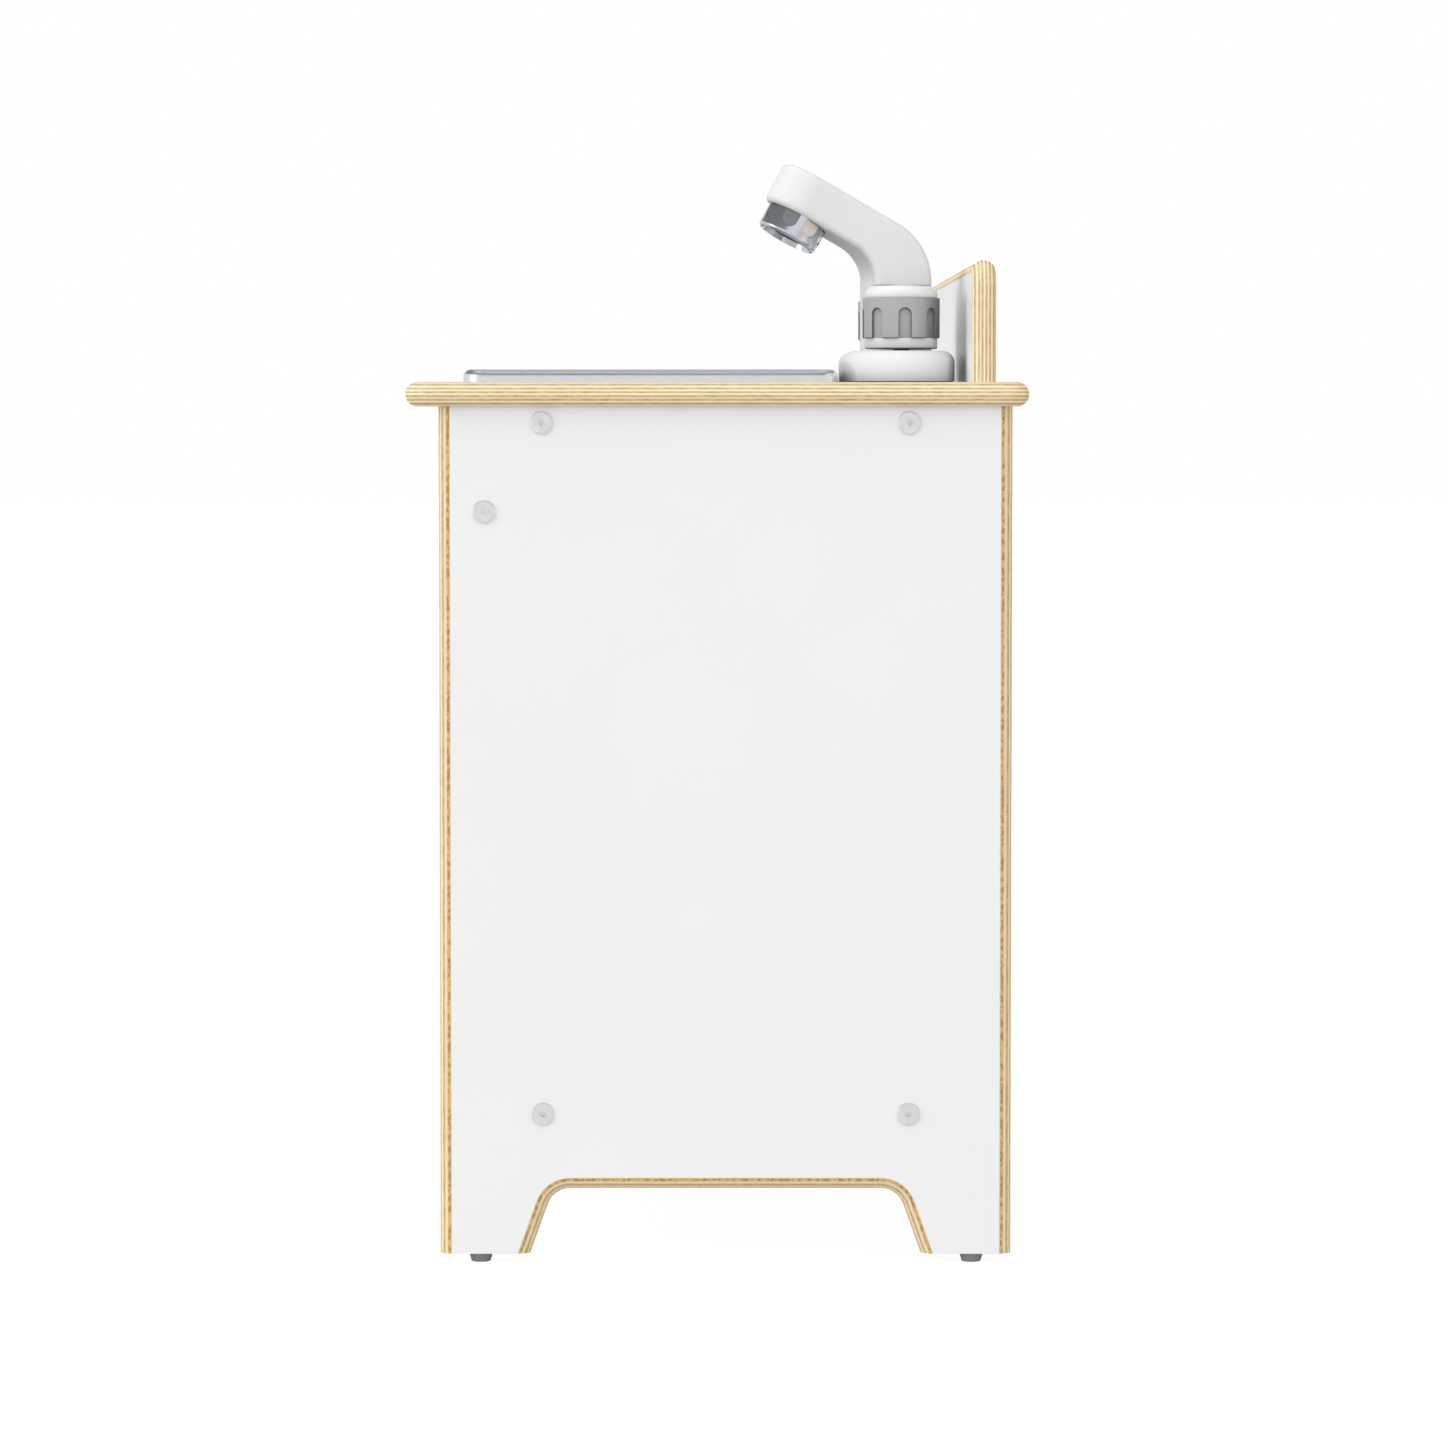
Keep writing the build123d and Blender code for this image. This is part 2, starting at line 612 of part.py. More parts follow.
def aerator_housing():
    """The nozzle's ring, with round-ended flats around it."""
    depth = AERATOR_OUT + 6.0
    body = Pos(0, 0, depth / 2 - 6.0) * Cylinder(AERATOR_R, depth)
    body = fillet(body.edges().sort_by(Axis.Z)[-1], 3.0)
    body -= Pos(0, 0, depth / 2) * Cylinder(AERATOR_R - 5.0, depth)
    body -= Pos(0, 0, AERATOR_OUT - 2.0) * Cone(AERATOR_R - 5.0, AERATOR_R - 3.2, 4.02)
    flat = Pos(0, 0, 2.0) * Box(30, 13, 8) + Pos(0, 0, 6.0) * Rot(0, 90, 0) * Cylinder(6.5, 30)
    for place in PolarLocations(0, 8, start_angle=22.5):
        body -= place * Pos(AERATOR_R - 1.1 + 15, 0, 0) * flat
    return to_tap(aerator_place() * body)


def aerator_insert():
    """The pierced plate inside the nozzle."""
    disc = Cylinder(AERATOR_R - 5.05, 3.0)
    for count, radius in ((1, 0.0), (6, 5.5), (12, 11.0)):
        for place in PolarLocations(radius, count):
            disc -= Pos(0, 0, 1.0) * place * Cylinder(1.5, 3.0)
    return to_tap(aerator_place() * Pos(0, 0, AERATOR_OUT - 6.5) * disc)


def knob_x(side):
    return BAY_X + side * KNOB_OFFSET


def tap_knob(side):
    """A tap knob's white body: skirt, core, cap and the spindle below."""
    x = knob_x(side)
    centre = (x, KNOB_Y)
    skirt = rod((*centre, KNOB_BOTTOM), "z", KNOB_SKIRT_R, GRIP_Z[0] - KNOB_BOTTOM)
    skirt = fillet(skirt.edges().group_by(Axis.Z)[0], 1.2)
    core = rod((*centre, GRIP_Z[0] - 1), "z", KNOB_CORE_R, GRIP_Z[1] - GRIP_Z[0] + 2)
    cap = rod((*centre, GRIP_Z[1]), "z", KNOB_SKIRT_R, KNOB_TOP - GRIP_Z[1])
    cap = fillet(cap.edges().group_by(Axis.Z)[-1], 6.5)
    spindle = rod((*centre, TAIL_BOTTOM), "z", SPINDLE_R, 14.0)
    return skirt + core + cap + spindle - clip_ring(x, KNOB_Y, SPINDLE_R)


def tap_knob_grip(side):
    """The soft grip around a knob, with round-topped flutes open at the bottom."""
    x = knob_x(side)
    grip = ring((x, KNOB_Y), (GRIP_Z[0] + 0.1, GRIP_Z[1] - 0.1), KNOB_GRIP_R, KNOB_CORE_R + 0.1)
    rims = grip.edges().filter_by(GeomType.CIRCLE)
    grip = fillet([e for e in rims if e.radius > KNOB_CORE_R + 1], 0.7)
    width, rise, depth = 10.0, 19.0, 2.2
    low = GRIP_Z[0] - 1
    slot = Pos(0, 0, low + rise / 2) * Box(10, width, rise)
    slot += Pos(0, 0, low + rise) * Rot(0, 90, 0) * Cylinder(width / 2, 10)
    for place in PolarLocations(0, FLUTES, start_angle=4.0):
        grip -= Pos(x, KNOB_Y, 0) * place * Pos(KNOB_GRIP_R - depth + 5, 0, 0) * slot
    return grip


# ---------------------------------------------------------------- hob and controls
def hob_plate():
    (x, y), (w, d) = HOB_MID, HOB_SIZE
    glass = plate((x - w / 2, x + w / 2), (y - d / 2, y + d / 2), (TOP_Z, HOB_TOP), 20.0)
    return fillet(glass.edges().group_by(Axis.Z)[-1], 1.4)


def burner(offset, radius):
    """A hotplate: a low disc with concentric grooves."""
    x = HOB_MID[0] + offset
    disc = rod((x, HOB_MID[1], HOB_TOP), "z", radius, BURNER_H)
    disc = fillet(disc.edges().group_by(Axis.Z)[-1], 1.5)
    pitch, width = BURNER_GROOVE
    floor = HOB_TOP + BURNER_H - 1.0
    groove = radius - pitch
    while groove > 14.0:
        disc -= ring((x, HOB_MID[1]), (floor, floor + 2.0), groove, groove - width)
        groove -= pitch
    return disc


def control_knob(x):
    """A hob or oven control with a raised grip, its snap-in spindle moulded on."""
    front = FACE_Y - 1.6
    base = rod((x, front, CONTROL_Z), "y", CONTROL_BASE_R, -5.0)
    base = fillet(base.edges().sort_by(Axis.Y)[0], 1.5)
    grip = rod((x, front - 4.0, CONTROL_Z), "y", CONTROL_R, -17.0)
    grip = fillet(grip.edges().sort_by(Axis.Y)[0], 2.0)
    for turn in range(0, 360, 30):
        if turn != 90:
            angle = math.radians(turn)
            dx, dz = (CONTROL_R + 1.6) * math.cos(angle), (CONTROL_R + 1.6) * math.sin(angle)
            grip -= rod((x + dx, front - 5.0, CONTROL_Z + dz), "y", 3.0, -20.0)
    grip -= block((x - 1.0, x + 1.0), (front - 22.0, front - 20.2),
                  (CONTROL_Z + 5.0, CONTROL_Z + 15.0))
    spindle = rod((x, front - 2.0, CONTROL_Z), "y", CONTROL_SHAFT_R, 27.0)
    snap = rod((x, FACE_BACK + 0.6, CONTROL_Z), "y", 5.5, 2.4)
    return base + grip + spindle + snap


def control_dial(x):
    """The thin disc behind a control."""
    disc = rod((x, FACE_Y, CONTROL_Z), "y", DIAL_R, -1.0)
    disc = fillet(disc.edges().sort_by(Axis.Y)[0], 0.5)
    return disc - rod((x, FACE_Y + 1, CONTROL_Z), "y", 5.0, -4.0)


# ---------------------------------------------------------------- doors
def bar_handle():
    """A bar on two posts, along X, its feet on the plane Y = 0 and facing -Y."""
    y = -HANDLE_GAP - HANDLE_BAR_R
    length = HANDLE_SPAN + 28.0
    bar = rod((-length / 2, y, 0), "x", HANDLE_BAR_R, length)
    bar = fillet(bar.edges().filter_by(GeomType.CIRCLE), 2.0)
    for x in (-HANDLE_SPAN / 2, HANDLE_SPAN / 2):
        bar += rod((x, 0, 0), "y", HANDLE_POST_R, y)
        bar -= rod((x, 1, 0), "y", HANDLE_SCREW_R, -11.0)
    return bar


def handle_screws():
    """The two screws of a handle, through the door from its inner face."""
    return [pan_screw((x, PLY, 0), "y", HANDLE_SCREW_R, -(PLY + 10.0))
            for x in (-HANDLE_SPAN / 2, HANDLE_SPAN / 2)]


def door_blank(x, handle):
    """A bullnosed door board, drilled for its handle."""
    door = upright(x, (FACE_Y, FACE_BACK), DOOR_Z, 12.0)
    door = fillet(rim_edges(door, Axis.Y, (FACE_Y, FACE_BACK)), NOSE_R)
    for hole_x in (-HANDLE_SPAN / 2, HANDLE_SPAN / 2):
        door -= handle * rod((hole_x, -1, 0), "y", HANDLE_SCREW_R + 0.1, PLY + 2)
    return door


def window_shape(grow, y):
    """The window's outline as an upright plate, grown all round."""
    half_w, half_h = WINDOW[0] / 2 + grow, WINDOW[1] / 2 + grow
    return upright((OVEN_MID - half_w, OVEN_MID + half_w), y,
                   (WINDOW_Z - half_h, WINDOW_Z + half_h), WINDOW_R + grow)


def oven_door():
    """The drop-down door, its window rebated into the inner face."""
    door = door_blank(OVEN_X, OVEN_HANDLE)
    door -= window_shape(0.0, (FACE_Y - 1, FACE_BACK + 1))
    rims = door.edges().filter_by_position(Axis.Y, FACE_Y - 0.01, FACE_Y + 0.01)
    inner = [e for e in rims if abs(e.center().X - OVEN_MID) < WINDOW[0] / 2 + 1
             and abs(e.center().Z - WINDOW_Z) < WINDOW[1] / 2 + 1]
    door = fillet(inner, 5.0)
    door -= window_shape(WINDOW_REBATE, (FACE_BACK - 4.0, FACE_BACK + 1))
    for x, way in ((OVEN_X[0], 1), (OVEN_X[1], -1)):
        door -= rod((x - way, FACE_MID, OVEN_AXIS_Z), "x", BUSH_R, way * 13.0)
    return door


def oven_window():
    return window_shape(WINDOW_REBATE - 0.5, (FACE_BACK - 3.8, FACE_BACK - 0.8))


def window_retainer():
    """The thin frame that holds the window in from inside."""
    outer = window_shape(2 * WINDOW_REBATE, (FACE_BACK, FACE_BACK + 2.5))
    return outer - window_shape(0.0, (FACE_BACK - 1, FACE_BACK + 3.5))


def oven_bush(x, way):
    body = rod((x, FACE_MID, OVEN_AXIS_Z), "x", BUSH_R, way * 12.0)
    return body - rod((x - way, FACE_MID, OVEN_AXIS_Z), "x", PIN_R + RUN_FIT, way * 12.0)


def cabinet_door():
    door = door_blank(CABINET_X, CABINET_HANDLE)
    for z, way in ((DOOR_Z[0], 1), (DOOR_Z[1], -1)):
        door -= rod((CABINET_AXIS_X, FACE_MID, z - way), "z", BUSH_R, way * 13.0)
    return door


def cabinet_bush(z, way):
    body = rod((CABINET_AXIS_X, FACE_MID, z), "z", BUSH_R, way * 12.0)
    return body - rod((CABINET_AXIS_X, FACE_MID, z - way), "z", PIN_R + RUN_FIT, way * 12.0)


def magnet_catch(x):
    """A magnetic catch on the divider, just behind a closed door."""
    body = block(x, (FACE_BACK + 1.6, FACE_BACK + 30.0), CATCH_Z)
    return fillet(body.edges().filter_by(Axis.X), 1.5)


def striker(x):
    """The steel plate on a door's inner face that meets the catch."""
    body = block(x, (FACE_BACK, FACE_BACK + 1.0), (CATCH_Z[0] + 3, CATCH_Z[1] - 3))
    return fillet(body.edges().filter_by(Axis.Y), 1.5)


# ---------------------------------------------------------------- oven rack
def rack_runner(x):
    batten = block(x, (-150.0, 190.0), (RUNNER_Z, RUNNER_Z + RUNNER))
    return fillet(batten.edges().filter_by(Axis.Y), 1.5)


def oven_rack():
    """A welded wire rack: a bent frame with wires across it and two bars below."""
    frame_r = RACK_FRAME_R
    z = RUNNER_Z + RUNNER + 0.3 + frame_r
    x = (-INNER + 4.0 + frame_r, DIVIDER_X - 4.0 - frame_r)
    y = (RACK_Y[0] + frame_r, RACK_Y[1] - frame_r)
    centre = Pos(sum(x) / 2, sum(y) / 2, z)
    path = (centre * RectangleRounded(x[1] - x[0], y[1] - y[0], 14.0)).face().outer_wire()
    start = path @ 0
    section = Plane(origin=start, z_dir=path % 0) * Circle(frame_r)
    rack = sweep(section, path=path)
    pitch = (x[1] - x[0]) / (RACK_WIRES + 1)
    for k in range(1, RACK_WIRES + 1):
        rack += rod((x[0] + k * pitch, y[0], z), "y", RACK_WIRE_R, y[1] - y[0])
    for bar_y in (y[0] + 95.0, y[1] - 95.0):
        rack += rod((x[0], bar_y, z), "x", RACK_BAR_R, x[1] - x[0])
    return rack


# ---------------------------------------------------------------- write every node
def write_carcass():
    left = side_panel(-1)
    right = side_panel(1)
    for pin in shelf_pins():
        right -= pin
    save("side_panel_left", left)
    save("side_panel_right", right)
    save("worktop", worktop())
    save("backsplash", backsplash())
    save("bottom_shelf", bottom_shelf())
    save("centre_divider", centre_divider())
    save("front_fascia", front_fascia())
    save("back_panel", back_panel())
    save("cleat_left", cleat((-INNER, -INNER + CLEAT_W), -1))
    save("cleat_middle", cleat((DIVIDER_X - CLEAT_W, DIVIDER_X), 0))
    save("cleat_right", cleat((INNER - CLEAT_W, INNER), 1))
    save("cabinet_shelf", cabinet_shelf())
    save("shelf_pins", *shelf_pins())
    save("rack_runner_left", rack_runner((-INNER, -INNER + RUNNER)))
    save("rack_runner_right", rack_runner((DIVIDER_X - RUNNER, DIVIDER_X)))
    save("magnet_catches", magnet_catch((DIVIDER_X - CATCH_W, DIVIDER_X)),
         magnet_catch((DIVIDER_R, DIVIDER_R + CATCH_W)))
    glide_x = HALF - PLY / 2
    glides = [foot_glide(x, y) for x in (-glide_x, glide_x) for y in FOOT_Y]
    save("foot_glides", *glides)


def write_fasteners():
    bolts = [panel_bolt(side, y, z) for side in (-1, 1) for y, z in bolt_places()]
    save("panel_bolts", *bolts)
    save("barrel_nuts", *barrel_nuts(-1), *barrel_nuts(1))
    save("worktop_screws", *screw_group(worktop_screw_places(), "z", *WORKTOP_SCREW))
    save("backsplash_screws", *screw_group(splash_screw_places(), "z", *SPLASH_SCREW))
    save("divider_screws", *screw_group(divider_screw_places(), "z", *DIVIDER_SCREW))
    save("back_panel_screws", *screw_group(back_screw_places(), "y", *BACK_SCREW))
    save("tap_screws", *screw_group(tap_screw_places(), "z", *TAP_SCREW))
    oven_pins = [rod((-INNER - 10, FACE_MID, OVEN_AXIS_Z), "x", PIN_R, 22.0),
                 rod((DIVIDER_X + 10, FACE_MID, OVEN_AXIS_Z), "x", PIN_R, -22.0)]
    save("oven_hinge_pins", *oven_pins)
    cabinet_pins = [rod((CABINET_AXIS_X, FACE_MID, FLOOR_Z - 10), "z", PIN_R, 22.0),
                    rod((CABINET_AXIS_X, FACE_MID, FASCIA_Z + 10), "z", PIN_R, -22.0)]
    save("cabinet_hinge_pins", *cabinet_pins)


def write_sink_and_tap():
    save("sink_basin", sink_basin())
    save("sink_strainer", sink_strainer())
    save("tap_base", tap_base())
    save("tap_gasket", tap_gasket())
    save("spout", spout())
    save("aerator_housing", aerator_housing())
    save("aerator_insert", aerator_insert())
    save("spout_clip", snap_clip(BAY_X, TAP_Y, SPOUT_TAIL_R))
    for name, side in (("hot", -1), ("cold", 1)):
        save(f"{name}_knob", tap_knob(side))
        save(f"{name}_knob_grip", tap_knob_grip(side))
        save(f"{name}_knob_clip", snap_clip(knob_x(side), KNOB_Y, SPINDLE_R))


def write_hob_and_controls():
    save("hob_plate", hob_plate())
    for name, (offset, radius) in BURNERS.items():
        save(f"burner_{name}", burner(offset, radius))
    for name, x in zip(("left", "middle", "right"), CONTROL_X):
        save(f"control_knob_{name}", control_knob(x))
    save("control_dials", *[control_dial(x) for x in CONTROL_X])


def write_doors():
    save("oven_door", oven_door())
    save("oven_window", oven_window())
    save("window_retainer", window_retainer())
    save("oven_handle", OVEN_HANDLE * bar_handle())
    save("oven_handle_screws", *[OVEN_HANDLE * screw for screw in handle_screws()])
    save("oven_striker", striker((DIVIDER_X - 25.0, DIVIDER_X - 12.0)))
    save("oven_hinge_bushes", oven_bush(OVEN_X[0], 1), oven_bush(OVEN_X[1], -1))
    save("oven_rack", oven_rack())
    save("cabinet_door", cabinet_door())
    save("cabinet_handle", CABINET_HANDLE * bar_handle())
    save("cabinet_handle_screws", *[CABINET_HANDLE * screw for screw in handle_screws()])
    save("cabinet_striker", striker((DIVIDER_R + 12.0, DIVIDER_R + 25.0)))
    save("cabinet_hinge_bushes", cabinet_bush(DOOR_Z[0], 1), cabinet_bush(DOOR_Z[1], -1))


os.makedirs("parts", exist_ok=True)
write_carcass()
write_fasteners()
write_sink_and_tap()
write_hob_and_controls()
write_doors()
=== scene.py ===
import bmesh
import bpy
import math
from mathutils import Matrix, Vector


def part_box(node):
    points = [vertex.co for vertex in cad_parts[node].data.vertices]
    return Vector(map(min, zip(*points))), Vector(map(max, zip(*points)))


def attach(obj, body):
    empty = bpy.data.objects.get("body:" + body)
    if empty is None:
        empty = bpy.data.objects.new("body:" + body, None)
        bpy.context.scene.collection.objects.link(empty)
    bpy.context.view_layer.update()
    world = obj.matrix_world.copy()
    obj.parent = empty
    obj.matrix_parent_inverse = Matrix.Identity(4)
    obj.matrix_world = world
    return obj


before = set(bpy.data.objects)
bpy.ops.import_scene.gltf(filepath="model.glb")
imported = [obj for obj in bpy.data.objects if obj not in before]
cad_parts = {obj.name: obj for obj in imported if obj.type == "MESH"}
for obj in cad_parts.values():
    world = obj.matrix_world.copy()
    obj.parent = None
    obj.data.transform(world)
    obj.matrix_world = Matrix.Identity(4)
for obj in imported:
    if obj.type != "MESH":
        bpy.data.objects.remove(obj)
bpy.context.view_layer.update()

# The looks of a child's play kitchen: white-faced plywood with bare bullnosed edges, a steel sink,
# a white plastic tap with grey grips. Lengths are in metres and every place comes from the frame.
MM = 0.001
PLY_LAYER = 18.0 * MM / 13         # one veneer of 13-ply board
AXES = {"X": 0, "Y": 1, "Z": 2}
BARE_DEPTH = (0.002 * MM, 0.012 * MM)    # wood shows where a board's face starts to curve away
GLUE_INNER = (0.02 * MM, 0.06 * MM)      # the honey-coloured band beside each face fades in
GLUE_OUTER = (0.35 * MM, 0.65 * MM)      # and out over these depths below the face

SKY_TOWARD = (0.66, -0.54, 0.30)         # the way that the soft light comes from
SKY_LEVELS = (0.15, 1.60)                # strength away from it and toward it
CEILING = ((0.0, 0.9), (0.54, 0.92), (0.63, 0.80), (0.70, 0.24), (0.84, 0.20), (0.90, 0.75),
           (1.0, 0.55))                  # what shiny parts see, from straight down to straight up
KEY_PLACE = (1.2, -3.8, 1.3)
KEY_AIM = (0.2, 0.0, 0.5)
KEY_SIZE = 2.4
KEY_POWER = 12.0
FLOOR_GLOW = 0.45                        # light that the floor throws up
FLOOR_SEEN = 0.88                        # how bright it looks to the camera
FLOOR_TONE = 0.18

EYE = (4.1, 6.4 * MM)                    # the camera's x and y
EYE_TILT = 2.776                         # degrees below level
EYE_PAN = 0.040
LENS = 125.0
LENS_SHIFT = -0.05

TICKS = 10                               # marks round a control, from off to full
TICK_STEP = 30.0


# ---------------------------------------------------------------- node materials
class Shade:
    """A procedural material, built up one node at a time around a Principled shader."""

    def __init__(self, name, **settings):
        self.material = bpy.data.materials.new(name)
        self.material.use_nodes = True
        self.tree = self.material.node_tree
        self.surface = self.tree.nodes["Principled BSDF"]
        for key, value in settings.items():
            self.surface.inputs[key.replace("_", " ")].default_value = value

    def node(self, kind, inputs=None, **settings):
        made = self.tree.nodes.new(kind)
        for key, value in settings.items():
            setattr(made, key, value)
        for key, value in (inputs or {}).items():
            self.feed(made.inputs[key], value)
        return made

    def feed(self, socket, value):
        if isinstance(value, bpy.types.NodeSocket):
            self.tree.links.new(value, socket)
        else:
            socket.default_value = value

    def set(self, key, value):
        self.feed(self.surface.inputs[key], value)

    def place(self, stretch=(1, 1, 1)):
        """Object coordinates, scaled along each axis."""
        coords = self.node("ShaderNodeTexCoord").outputs["Object"]
        return self.node("ShaderNodeMapping", {"Vector": coords, "Scale": stretch}).outputs[0]

    def along(self, axis):
        split = self.node("ShaderNodeSeparateXYZ", {"Vector": self.place()})
        return split.outputs[AXES[axis]]

    def maths(self, operation, a, b=0.0, c=0.0):
        made = self.node("ShaderNodeMath", {0: a, 1: b, 2: c}, operation=operation)
        return made.outputs[0]

    def noise(self, scale, stretch=(1, 1, 1), detail=3.0, roughness=0.5):
        settings = {"Vector": self.place(stretch), "Scale": scale, "Detail": detail,
                    "Roughness": roughness}
        return self.node("ShaderNodeTexNoise", settings).outputs["Fac"]

    def span(self, value, low, high, to_low=0.0, to_high=1.0):
        """Map a value's range onto another, clamped."""
        settings = {"Value": value, "From Min": low, "From Max": high, "To Min": to_low,
                    "To Max": to_high}
        return self.node("ShaderNodeMapRange", settings).outputs["Result"]

    def mix(self, share, first, second, blend="MIX"):
        made = self.node("ShaderNodeMix", data_type="RGBA", blend_type=blend)
        self.feed(made.inputs["Factor"], share)
        self.feed(made.inputs[6], first)
        self.feed(made.inputs[7], second)
        return made.outputs[2]

    def occlusion_shade(self, colour, reach, shade_level=0.25):
        """Painted shade: a colour darkened by ambient occlusion in grooves and close to other
        pieces.
        """
        occlusion = self.node("ShaderNodeAmbientOcclusion", {"Distance": reach}, samples=8)
        shade_share = self.span(occlusion.outputs["AO"], 0.25, 0.95, 1.0, 0.0)
        shaded_tone = self.mix(1.0, colour, grey(shade_level), "MULTIPLY")
        return self.mix(shade_share, colour, shaded_tone)

    def bump(self, height, depth, strength=1.0):
        settings = {"Height": height, "Distance": depth, "Strength": strength}
        self.set("Normal", self.node("ShaderNodeBump", settings).outputs["Normal"])


def grey(level):
    return (level, level, level, 1.0)


def tint(red, green, blue):
    return (red, green, blue, 1.0)


def lengthwise(axis, along, across):
    """Noise stretch for streaks that run along one axis."""
    stretch = [across, across, across]
    stretch[AXES[axis]] = along
    return stretch


def faced_ply(node, thick_axis, grain_axis, glow=0.35):
    """White laminate on birch plywood. The plies show wherever an edge is cut or rounded."""
    low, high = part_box(node)
    side = AXES[thick_axis]
    base, thick = low[side], high[side] - low[side]
    layers = 2 * round((thick / PLY_LAYER - 1) / 2) + 1
    shade = Shade(f"faced_ply_{node}")

    wobble = shade.noise(9.0, lengthwise(grain_axis, 0.25, 1.0), 2.0)
    shift = shade.maths("MULTIPLY_ADD", wobble, 0.5 * MM, -0.25 * MM)
    raw_depth = shade.maths("SUBTRACT", shade.along(thick_axis), base)
    other_face = shade.maths("SUBTRACT", thick, raw_depth)
    skin_depth = shade.maths("MINIMUM", raw_depth, other_face)
    depth = shade.maths("ADD", raw_depth, shift)
    layer = shade.maths("MULTIPLY", depth, layers / thick)
    phase = shade.maths("PINGPONG", shade.maths("ADD", layer, 0.5), 1.0)
    cross_layer = shade.span(phase, 0.38, 0.62)
    number = shade.maths("FLOOR", layer)
    lot = shade.node("ShaderNodeTexWhiteNoise", {"W": number}, noise_dimensions="1D")

    streaks = shade.noise(900.0, lengthwise(grain_axis, 0.012, 1.0), 4.0, 0.65)
    pores = shade.noise(750.0, lengthwise(grain_axis, 0.16, 1.0), 3.0, 0.6)
    long_wood = shade.mix(shade.span(streaks, 0.35, 0.7), tint(0.98, 0.84, 0.57),
                          tint(0.86, 0.68, 0.40))
    end_wood = shade.mix(shade.span(pores, 0.42, 0.62), tint(0.68, 0.50, 0.28),
                         tint(0.53, 0.35, 0.17))
    wood = shade.mix(cross_layer, end_wood, long_wood)
    varied = shade.span(lot.outputs["Value"], 0.0, 1.0, 0.88, 1.08)
    wood = shade.mix(1.0, wood, shade.node("ShaderNodeCombineColor", {
        "Red": varied, "Green": varied, "Blue": varied}).outputs[0], "MULTIPLY")

    fade_in = shade.span(skin_depth, *GLUE_INNER)
    fade_out = shade.span(skin_depth, *GLUE_OUTER, 1.0, 0.0)
    glue = shade.maths("MULTIPLY", shade.maths("MULTIPLY", fade_in, fade_out), glow)
    flecks = shade.noise(300.0, lengthwise(grain_axis, 0.8, 1.0), 2.0)
    honey = shade.mix(shade.span(flecks, 0.46, 0.56), tint(0.68, 0.42, 0.11),
                      tint(0.40, 0.19, 0.05))
    wood = shade.mix(glue, wood, honey)

    clouds = shade.noise(7.0, (1, 1, 1), 3.0)
    laminate = shade.mix(shade.span(clouds, 0.3, 0.7), grey(0.845), tint(0.862, 0.860, 0.856))
    bare = shade.span(skin_depth, *BARE_DEPTH)
    shade.set("Base Color", shade.mix(bare, laminate, wood))
    satin = shade.span(shade.noise(38.0), 0.3, 0.7, 0.36, 0.46)
    oiled = shade.span(streaks, 0.3, 0.7, 0.48, 0.62)
    rough = shade.node("ShaderNodeMix", {"Factor": bare, 2: satin, 3: oiled}).outputs[0]
    shade.set("Roughness", rough)
    pearl = shade.noise(520.0, (1, 1, 1), 2.0)
    relief = shade.node("ShaderNodeMix", {"Factor": bare, 2: shade.maths("MULTIPLY", pearl, 0.15),
                                          3: streaks}).outputs[0]
    shade.bump(relief, 0.12 * MM)
    return shade.material


def birch(name, grain_axis):
    """Planed solid birch with a long, quiet grain."""
    shade = Shade(name)
    rings = shade.noise(60.0, lengthwise(grain_axis, 0.06, 1.0), 4.0, 0.6)
    fibres = shade.noise(700.0, lengthwise(grain_axis, 0.02, 1.0), 3.0)
    wood = shade.mix(shade.span(rings, 0.35, 0.65), tint(0.80, 0.62, 0.38),
                     tint(0.62, 0.43, 0.22))
    wood = shade.mix(shade.span(fibres, 0.5, 0.8, 0.0, 0.35), wood, tint(0.42, 0.27, 0.13))
    shade.set("Base Color", wood)
    shade.set("Roughness", shade.span(rings, 0.3, 0.7, 0.50, 0.64))
    shade.bump(fibres, 0.08 * MM)
    return shade.material


def brushed(name, colour, axis, rough=(0.24, 0.38), depth=0.02):
    """Steel brushed along one axis, with a few faint smudges."""
    shade = Shade(name, Metallic=1.0)
    lines = shade.noise(1500.0, lengthwise(axis, 0.006, 1.0), 3.0, 0.7)
    smudge = shade.noise(26.0, (1, 1, 1), 3.0)
    dull = tint(*(0.86 * part for part in colour[:3]))
    shade.set("Base Color", shade.mix(shade.span(lines, 0.3, 0.7), dull, colour))
    spread = shade.maths("MULTIPLY_ADD", smudge, 0.10, -0.05)
    shade.set("Roughness", shade.maths("ADD", shade.span(lines, 0.3, 0.7, *rough), spread))
    shade.bump(lines, depth * MM)
    return shade.material


def plated(name, colour, rough, reach=0.0):
    """Smooth plated metal: zinc on fasteners, chrome on the nozzle and the rack. With a reach,
    painted shade darkens the colour in hollows and near other pieces.
    """
    shade = Shade(name, Metallic=1.0)
    bloom = shade.noise(160.0, (1, 1, 1), 4.0, 0.6)
    dull = tint(*(0.94 * part for part in colour[:3]))
    tone = shade.mix(shade.span(bloom, 0.3, 0.7), colour, dull)
    shade.set("Base Color", shade.occlusion_shade(tone, reach) if reach else tone)
    shade.set("Roughness", shade.span(bloom, 0.3, 0.7, rough, 1.7 * rough))
    shade.bump(bloom, 0.01 * MM)
    return shade.material


def moulded(name, colour, rough, grain=0.02, scale=900.0, reach=0.0):
    """Injection-moulded plastic with a fine tool texture and slightly uneven sheen. With a reach,
    painted shade darkens the colour in grooves and near other pieces.
    """
    shade = Shade(name, Specular_IOR_Level=0.45)
    haze = shade.noise(14.0, (1, 1, 1), 3.0)
    texture = shade.noise(scale, (1, 1, 1), 2.0, 0.6)
    deeper = tint(*(0.95 * part for part in colour[:3]))
    tone = shade.mix(shade.span(haze, 0.3, 0.7), colour, deeper)
    shade.set("Base Color", shade.occlusion_shade(tone, reach) if reach else tone)
    shade.set("Roughness", shade.span(haze, 0.3, 0.7, rough, rough + 0.08))
    shade.bump(texture, grain * MM)
    return shade.material


